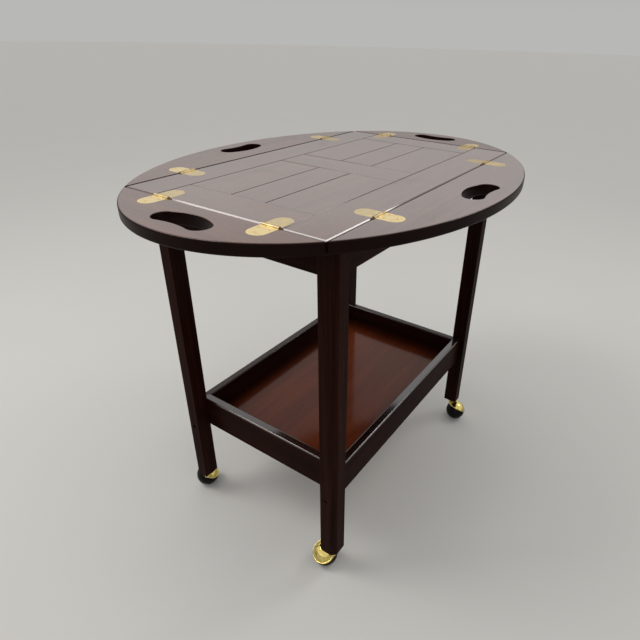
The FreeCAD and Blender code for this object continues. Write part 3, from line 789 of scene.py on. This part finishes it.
@dataclass
class TrayTop:
    """The panelled top with its leaves and hinges.

    A fade holds the depths below the face between which painted shade darkens a board's sides. Handled
    holds the share of each leaf's shine that handling took off.
    """

    middle_plank: float = 0.062
    leaf_fade: Range = (0.00003, 0.0007)
    stile_fade: Range = (0.0008, 0.0017)
    rail_fade: Range = (0.0013, 0.0021)
    first_leaf: int = 21
    handled: dict[Side, float] = field(
        default_factory=lambda: {Side.FRONT: 0.02, Side.BACK: 0.18, Side.LEFT: 0.22, Side.RIGHT: 0.30})

    def dress(self, dresser: Dresser) -> None:
        """Gives the boards, leaves, hinges and battens their finishes.

        Args:
            dresser: What holds the solids.
        """
        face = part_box("rail_middle")[1].z
        for board in self.boards(face):
            dresser.dress([board.name], TOP_LACQUER.material(board))
        for side in Side:
            across = Grain.ACROSS if side.grain is Grain.ALONG else Grain.ALONG
            leaf_brass = LEAF_BRASS.material("leaf_brass_" + side.label, across, face)
            dresser.dress(["leaf_plates_" + side.label, "leaf_screws_" + side.label], leaf_brass)
            panel_brass = PANEL_BRASS.material("panel_brass_" + side.label, across, face)
            dresser.dress(["hinge_plates_" + side.label], panel_brass)
        pin_brass = LEAF_BRASS.material("pin_brass", Grain.UPRIGHT)
        dresser.dress(["hinge_pins", "hinge_plate_screws"], pin_brass)
        dresser.dress(["register_battens"], UNDER_WOOD.material("batten_wood", Grain.ALONG))
        dresser.dress(["batten_screws"], ZINC.material("batten_screw_zinc"))

    def boards(self, face: float) -> list[Board]:
        """Lists the panel's boards and the leaves.

        Args:
            face: The height of the top's upper face.

        Returns:
            The boards, with their grooves read from the solids.
        """
        low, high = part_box("rail_middle")
        rows = ((Axis.Y, low.y), (Axis.Y, high.y))
        plank_rows = (*rows, (Axis.Y, -self.middle_plank / 2), (Axis.Y, self.middle_plank / 2))
        left_end = (Axis.X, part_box("rail_left")[1].x)
        right_end = (Axis.X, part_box("rail_right")[0].x)
        middle_left = (Axis.X, low.x)
        middle_right = (Axis.X, high.x)
        boards = [
            Board("stile_front", 1, Grain.ALONG, face, self.stile_fade, grooves=rows[:1]),
            Board("stile_back", 2, Grain.ALONG, face, grooves=rows[1:]),
            Board("rail_left", 3, Grain.ACROSS, face, self.rail_fade, grooves=(*rows, left_end)),
            Board("rail_middle", 4, Grain.ACROSS, face, grooves=(*rows, middle_left, middle_right)),
            Board("rail_right", 5, Grain.ACROSS, face, grooves=(*rows, right_end)),
            Board("planks_left", 11, Grain.ALONG, face, grooves=(*plank_rows, left_end, middle_left),
                  middle_plank=self.middle_plank),
            Board("planks_right", 12, Grain.ALONG, face, grooves=(*plank_rows, middle_right, right_end),
                  middle_plank=self.middle_plank),
        ]
        for number, (side, worn) in enumerate(self.handled.items(), self.first_leaf):
            leaf = Board("leaf_" + side.label, number, side.grain, face, self.leaf_fade, worn=worn)
            boards.append(leaf)
        return boards


@dataclass
class Stand:
    """The legs, the aprons and the shelf tray.

    Rim worn holds the share of the shine that each of the tray's walls has lost.
    """

    first_leg: int = 31
    first_apron: int = 41
    first_wall: int = 51
    floor_number: int = 61
    rim_worn: dict[Side, float] = field(
        default_factory=lambda: {Side.FRONT: 0.1, Side.BACK: 0.70, Side.LEFT: 0.2, Side.RIGHT: 0.70})

    def dress(self, dresser: Dresser) -> None:
        """Gives the stand's pieces their finishes.

        Args:
            dresser: What holds the solids.
        """
        for number, corner in enumerate(Corner, self.first_leg):
            leg = Board("leg_" + corner.value, number, Grain.UPRIGHT)
            dresser.dress([leg.name], STAND_LACQUER.material(leg))
        for number, side in enumerate(Side, self.first_apron):
            apron = Board("apron_" + side.label, number, side.grain)
            dresser.dress([apron.name], STAND_LACQUER.material(apron))
        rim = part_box("shelf_wall_front")[1].z
        for number, side in enumerate(Side, self.first_wall):
            wall = Board("shelf_wall_" + side.label, number, side.grain, rim, worn=self.rim_worn[side])
            dresser.dress([wall.name], WALL_LACQUER.material(wall))
        framed = (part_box("shelf_wall_right")[0].x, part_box("shelf_wall_back")[0].y)
        floor = Board("shelf_floor", self.floor_number, Grain.ALONG, framed=framed)
        dresser.dress([floor.name], SHELF_LACQUER.material(floor))
        dresser.dress(["corner_blocks"], UNDER_WOOD.material("block_wood", Grain.UPRIGHT))
        dresser.dress(["shelf_screws", "caster_sockets"], ZINC.material("fitting_zinc"))


class Bench:
    """Modelling moves on one new piece at a time, in edit mode."""

    @staticmethod
    def clear() -> None:
        """Leaves edit mode and deselects everything."""
        if bpy.context.object is not None and bpy.context.object.mode != "OBJECT":
            bpy.ops.object.mode_set(mode="OBJECT")
        bpy.ops.object.select_all(action="DESELECT")

    @staticmethod
    def take(piece: bpy.types.Object) -> None:
        """Selects one piece alone and makes it the active one.

        Args:
            piece: The piece.
        """
        Bench.clear()
        piece.select_set(True)
        bpy.context.view_layer.objects.active = piece

    @staticmethod
    def section(name: str, width: float, height: float, radius: float, level: float) -> bpy.types.Object:
        """Starts a turned ring from a rectangle that stands in the XZ plane, in edit mode.

        Args:
            name: The piece's name.
            width: The rectangle's size away from the Z axis.
            height: The rectangle's size along the Z axis.
            radius: The rectangle's middle, from the Z axis.
            level: The rectangle's middle along the Z axis.

        Returns:
            The piece, with all of it selected.
        """
        Bench.clear()
        upright = (math.pi / 2, 0.0, 0.0)
        bpy.ops.mesh.primitive_plane_add(size=1.0, location=(radius, 0.0, level), rotation=upright)
        piece = bpy.context.object
        piece.name = name
        piece.scale = (width, height, 1.0)
        bpy.ops.object.transform_apply(location=True, rotation=True, scale=True)
        bpy.ops.object.mode_set(mode="EDIT")
        bpy.ops.mesh.select_mode(type="EDGE")
        return piece

    @staticmethod
    def pick_edges(piece: bpy.types.Object, test: Callable[[Vector], bool]) -> None:
        """Selects the edges whose middles pass a test, and no others.

        Args:
            piece: The piece, in edit mode.
            test: What an edge's middle has to pass.
        """
        bpy.ops.mesh.select_all(action="DESELECT")
        bpy.ops.object.mode_set(mode="OBJECT")
        points = piece.data.vertices
        for edge in piece.data.edges:
            middle = (points[edge.vertices[0]].co + points[edge.vertices[1]].co) / 2
            edge.select = test(middle)
        bpy.ops.object.mode_set(mode="EDIT")

    @staticmethod
    def push(way: Triple) -> None:
        """Extrudes the selected edges."""
        bpy.ops.mesh.extrude_edges_move(TRANSFORM_OT_translate={"value": way})

    @staticmethod
    def turn(steps: int) -> None:
        """Spins the whole section about the Z axis into a closed ring.

        Args:
            steps: How many steps the ring has.
        """
        bpy.ops.mesh.select_all(action="SELECT")
        bpy.ops.mesh.spin(steps=steps, angle=2 * math.pi, center=(0.0, 0.0, 0.0), axis=UPWARDS)
        bpy.ops.mesh.select_all(action="SELECT")
        bpy.ops.mesh.remove_doubles(threshold=MERGE_DISTANCE)
        Bench.drop_inner_faces()
        bpy.ops.mesh.select_all(action="SELECT")
        bpy.ops.mesh.normals_make_consistent(inside=False)
        bpy.ops.object.mode_set(mode="OBJECT")

    @staticmethod
    def drop_inner_faces() -> None:
        """Deletes what is left of the section inside the ring."""
        bpy.ops.mesh.select_mode(type="FACE")
        bpy.ops.mesh.select_all(action="DESELECT")
        bpy.ops.mesh.select_interior_faces()
        bpy.ops.mesh.delete(type="FACE")

    @staticmethod
    def soften(piece: bpy.types.Object, width: float, angle: float) -> None:
        """Rounds the piece's sharp edges and smooths its shading.

        Args:
            piece: The piece.
            width: How wide the rounding is.
            angle: The least angle of a sharp edge.
        """
        bevel = piece.modifiers.new("soften", "BEVEL")
        bevel.width = width
        bevel.segments = 2
        bevel.limit_method = "ANGLE"
        bevel.angle_limit = angle
        Bench.take(piece)
        bpy.ops.object.modifier_apply(modifier=bevel.name)
        bpy.ops.object.shade_smooth_by_angle(angle=angle)

    @staticmethod
    def copy_to(pattern: bpy.types.Object, name: str, place: Matrix) -> bpy.types.Object:
        """Sets a copy of a piece in its place, with the place in its mesh.

        Args:
            pattern: The piece to copy.
            name: The copy's name.
            place: Where it goes.

        Returns:
            The copy.
        """
        piece = pattern.copy()
        piece.data = pattern.data.copy()
        piece.name = name
        bpy.context.scene.collection.objects.link(piece)
        piece.matrix_world = place
        Bench.take(piece)
        bpy.ops.object.transform_apply(location=True, rotation=True, scale=True)
        return piece


@dataclass(frozen=True)
class Ball:
    """A caster's ball: its middle, and the way of its axle, up into the hood."""

    middle: Vector
    axle: Vector

    @property
    def radius(self) -> float:
        """The middle's height, since the ball stands on the floor."""
        return self.middle.z


@dataclass
class Casters:
    """The ball casters: finishes for their solids, and the thin brass trim on hood and foot."""

    joints: list[dict[str, Any]]
    hood_mouth: float = 0.0070
    lip_width: float = 0.0022
    lip_step_width: float = 0.0012
    lip_thickness: float = 0.0009
    lip_step: float = 0.0007
    lip_proud: float = 0.00025
    lip_round: float = 0.0002
    collar_inner: float = 0.0083
    collar_outer: float = 0.0106
    collar_height: float = 0.0010
    collar_lip: float = 0.0005
    collar_round: float = 0.0003
    sharp_angle: float = math.radians(40)
    ring_steps: int = 72
    brass: bpy.types.Material = field(init=False)

    def build(self, dresser: Dresser) -> None:
        """Dresses the casters and adds their trim.

        Args:
            dresser: What holds the solids.
        """
        self.brass = CASTER_BRASS.material("caster_brass", Grain.UPRIGHT)
        black = WHEEL_BLACK.material("wheel_black")
        zinc = ZINC.material("caster_zinc")
        lip = self.hood_lip(self.ball(Corner.FRONT_LEFT).radius)
        collar = self.foot_collar()
        for corner in Corner:
            dresser.dress(["caster_hood_" + corner.value], self.brass)
            dresser.dress(["caster_wheel_" + corner.value], black)
            dresser.dress(["caster_stem_" + corner.value, "caster_axle_" + corner.value], zinc)
            self.place_lip(lip, corner)
            self.place_collar(collar, corner)
        for pattern in (lip, collar):
            bpy.data.objects.remove(pattern)

    def ball(self, corner: Corner) -> Ball:
        """Finds a caster's ball by the joint that its wheel rolls on.

        Args:
            corner: The caster's corner.

        Returns:
            The ball.
        """
        name = "wheel_" + corner.value + "_roll"
        roll = next(joint for joint in self.joints if joint["name"] == name)
        return Ball(Vector(roll["pos_m"]), Vector(roll["axis"]).normalized())

    def hood_lip(self, radius: float) -> bpy.types.Object:
        """A stepped band round the hood's mouth, with the ball's middle at 0 and the hood up the Z axis.

        Args:
            radius: The ball's radius.

        Returns:
            The piece, to be copied.
        """
        outer = math.sqrt(radius ** 2 - self.hood_mouth ** 2) + self.lip_proud
        middle = outer - self.lip_thickness / 2
        level = self.hood_mouth + self.lip_width / 2
        top = self.hood_mouth + self.lip_width
        piece = Bench.section("lip", self.lip_thickness, self.lip_width, middle, level)
        Bench.pick_edges(piece, lambda point: point.z > top - PICK_MARGIN)
        Bench.push((-self.lip_step, 0.0, self.lip_step_width))
        Bench.turn(self.ring_steps)
        Bench.soften(piece, self.lip_round, self.sharp_angle)
        return piece

    def foot_collar(self) -> bpy.types.Object:
        """A thin washer with a rolled edge under a leg's foot, about the Z axis, its top at 0.

        Returns:
            The piece, to be copied.
        """
        width = self.collar_outer - self.collar_inner
        middle = (self.collar_outer + self.collar_inner) / 2
        piece = Bench.section("collar", width, self.collar_height, middle, -self.collar_height / 2)
        Bench.pick_edges(piece, lambda point: point.x > self.collar_outer - PICK_MARGIN)
        Bench.push((self.collar_lip, 0.0, 0.0))
        Bench.turn(self.ring_steps)
        Bench.soften(piece, self.collar_round, self.sharp_angle)
        return piece

    def place_lip(self, pattern: bpy.types.Object, corner: Corner) -> None:
        """Sets a copy of the band on one caster's hood.

        Args:
            pattern: The band.
            corner: The caster's corner.
        """
        ball = self.ball(corner)
        turn = Vector(UPWARDS).rotation_difference(ball.axle).to_matrix().to_4x4()
        place = Matrix.Translation(ball.middle) @ turn
        piece = Bench.copy_to(pattern, "hood_lip_" + corner.value, place)
        self.finish(piece, "caster_" + corner.value)

    def place_collar(self, pattern: bpy.types.Object, corner: Corner) -> None:
        """Sets a copy of the washer under one leg's foot.

        Args:
            pattern: The washer.
            corner: The leg's corner.
        """
        low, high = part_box("leg_" + corner.value)
        foot = Vector(((low.x + high.x) / 2, (low.y + high.y) / 2, low.z))
        piece = Bench.copy_to(pattern, "foot_collar_" + corner.value, Matrix.Translation(foot))
        self.finish(piece, "stand")

    def finish(self, piece: bpy.types.Object, body: str) -> None:
        """Gives a trim piece its brass and lets it ride on a body.

        Args:
            piece: The piece.
            body: The body's name.
        """
        piece.data.materials.clear()
        piece.data.materials.append(self.brass)
        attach(piece, body)
        LOG.info("%s rides on %s", piece.name, body)


@dataclass(frozen=True)
class Lamp:
    """A soft box: where it hangs, the point that it faces, its width and height, watts and tint."""

    name: str
    place: Triple
    target: Triple
    size: tuple[float, float]
    power: float
    tint: Colour

    def hang(self) -> None:
        """Adds the lamp to the scene and turns it to its target."""
        data = bpy.data.lights.new(self.name, "AREA")
        data.shape = "RECTANGLE"
        data.size, data.size_y = self.size
        data.energy = self.power
        data.color = self.tint
        lamp = bpy.data.objects.new(self.name, data)
        bpy.context.scene.collection.objects.link(lamp)
        lamp.location = self.place
        way = Vector(self.target) - Vector(self.place)
        lamp.rotation_euler = way.to_track_quat("-Z", "Y").to_euler()


@dataclass
class Studio:
    """Pale floor, soft light, and the camera at the photograph's angle.

    Walls holds the colours that the camera and reflections see round the table, each with its height,
    from 0 at the horizon to 1 overhead. Room light is what the room itself casts on the table.
    """

    camera_place: Triple = (-0.7073647, -0.4803709, 0.8245291)
    camera_azimuth: float = math.radians(-57.0146)
    camera_pitch: float = math.radians(29.4895)
    camera_roll: float = math.radians(1.4473)
    camera_near: float = 0.02
    focal_pixels: float = 506.4238
    middle_pixel: tuple[float, float] = (352.3149, 315.5102)
    floor_radius: float = 30.0
    floor_sides: int = 96
    floor_inset: float = 0.9
    floor_colour: Colour = (0.60, 0.595, 0.575)
    floor_shade: float = 0.97
    floor_gloss: float = 0.9
    floor_specular: float = 0.1
    mottling: Pattern = Pattern((3.0, 3.0, 3.0), detail=3.0)
    walls: tuple[tuple[float, Colour], ...] = (
        (0.03, (0.48, 0.48, 0.468)),
        (0.12, (0.42, 0.42, 0.412)),
        (0.31, (1.0, 0.99, 0.97)),
        (0.75, (0.80, 0.80, 0.79)),
    )
    room_light: Colour = (0.76, 0.75, 0.735)
    lamps: tuple[Lamp, ...] = (
        Lamp("left_window", place=(-0.91, 1.07, 2.15), target=(-0.29, -0.05, 0.62), size=(0.82, 1.15),
             power=17.0, tint=(1.0, 0.985, 0.96)),
        Lamp("right_window", place=(1.28, -0.88, 1.69), target=(-0.25, -0.17, 0.62), size=(0.45, 0.45),
             power=4.5, tint=(1.0, 0.98, 0.95)),
    )

    def build(self) -> None:
        """Makes the floor, the light and the camera."""
        self.lay_floor()
        self.light_room()
        for lamp in self.lamps:
            lamp.hang()
        self.set_camera()

    def lay_floor(self) -> None:
        """Lays a wide round floor, with a smaller round of its own under the table."""
        Bench.clear()
        bpy.ops.mesh.primitive_circle_add(
            vertices=self.floor_sides, radius=self.floor_radius, fill_type="NGON")
        floor = bpy.context.object
        floor.name = "studio_floor"
        bpy.ops.object.mode_set(mode="EDIT")
        bpy.ops.mesh.select_all(action="SELECT")
        bpy.ops.mesh.inset(thickness=self.floor_radius * self.floor_inset)
        bpy.ops.object.mode_set(mode="OBJECT")
        shader = Shader.named("studio_floor")
        shade = tuple(part * self.floor_shade for part in self.floor_colour)
        colour = shader.blend(shader.noise(self.mottling), shade, self.floor_colour)
        shader.set(Base_Color=colour, Roughness=self.floor_gloss, Specular_IOR_Level=self.floor_specular)
        floor.data.materials.append(shader.owner)

    def light_room(self) -> None:
        """Lights the room evenly, and shows pale walls to the camera and in reflections."""
        world = bpy.data.worlds.new("studio")
        sky = Shader(world)
        way = sky.node("ShaderNodeTexCoord").outputs["Generated"]
        height = sky.node("ShaderNodeSeparateXYZ", None, {0: way}).outputs[Axis.Z]
        walls = sky.node("ShaderNodeValToRGB", {"stops": self.walls}, {0: height}).outputs[0]
        path = sky.node("ShaderNodeLightPath").outputs
        seen = Signal(sky, path["Is Camera Ray"]) + Signal(sky, path["Is Glossy Ray"])
        seen = sky.math("MINIMUM", seen + Signal(sky, path["Is Transmission Ray"]), 1.0)
        sky.set(Color=sky.blend(seen, self.room_light, walls), Strength=1.0)
        bpy.context.scene.world = world

    def set_camera(self) -> None:
        """Puts the camera where the photograph was taken from."""
        azimuth, pitch, roll = self.camera_azimuth, self.camera_pitch, self.camera_roll
        level = math.cos(pitch)
        back = Vector((math.sin(azimuth) * level, -math.cos(azimuth) * level, math.sin(pitch)))
        right = Vector((math.cos(azimuth), math.sin(azimuth), 0.0))
        up = back.cross(right)
        turned_right = right * math.cos(roll) + up * math.sin(roll)
        turned_up = up * math.cos(roll) - right * math.sin(roll)
        turn = Matrix((turned_right, turned_up, back)).transposed()
        data = bpy.data.cameras.new("camera")
        data.sensor_width = SENSOR_WIDTH
        data.lens = self.focal_pixels / IMAGE_SIDE * SENSOR_WIDTH
        data.shift_x = (IMAGE_SIDE / 2 - self.middle_pixel[0]) / IMAGE_SIDE
        data.shift_y = (self.middle_pixel[1] - IMAGE_SIDE / 2) / IMAGE_SIDE
        data.clip_start = self.camera_near
        camera = bpy.data.objects.new("camera", data)
        bpy.context.scene.collection.objects.link(camera)
        camera.matrix_world = Matrix.Translation(self.camera_place) @ turn.to_4x4()
        bpy.context.scene.camera = camera


def main() -> None:
    """Loads the frame, dresses it, adds the trim and sets the studio."""
    logging.basicConfig(level=logging.INFO, format="%(message)s")
    for thing in list(bpy.data.objects):
        bpy.data.objects.remove(thing)
    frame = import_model()
    bpy.context.scene.view_settings.view_transform = "Standard"
    dresser = Dresser(frame["nodes"])
    TrayTop().dress(dresser)
    Stand().dress(dresser)
    Casters(frame["joints"]).build(dresser)
    Studio().build()
    LOG.info("solids without a finish: %s", sorted(dresser.undressed))
    Bench.clear()


if __name__ == "__main__":
    main()
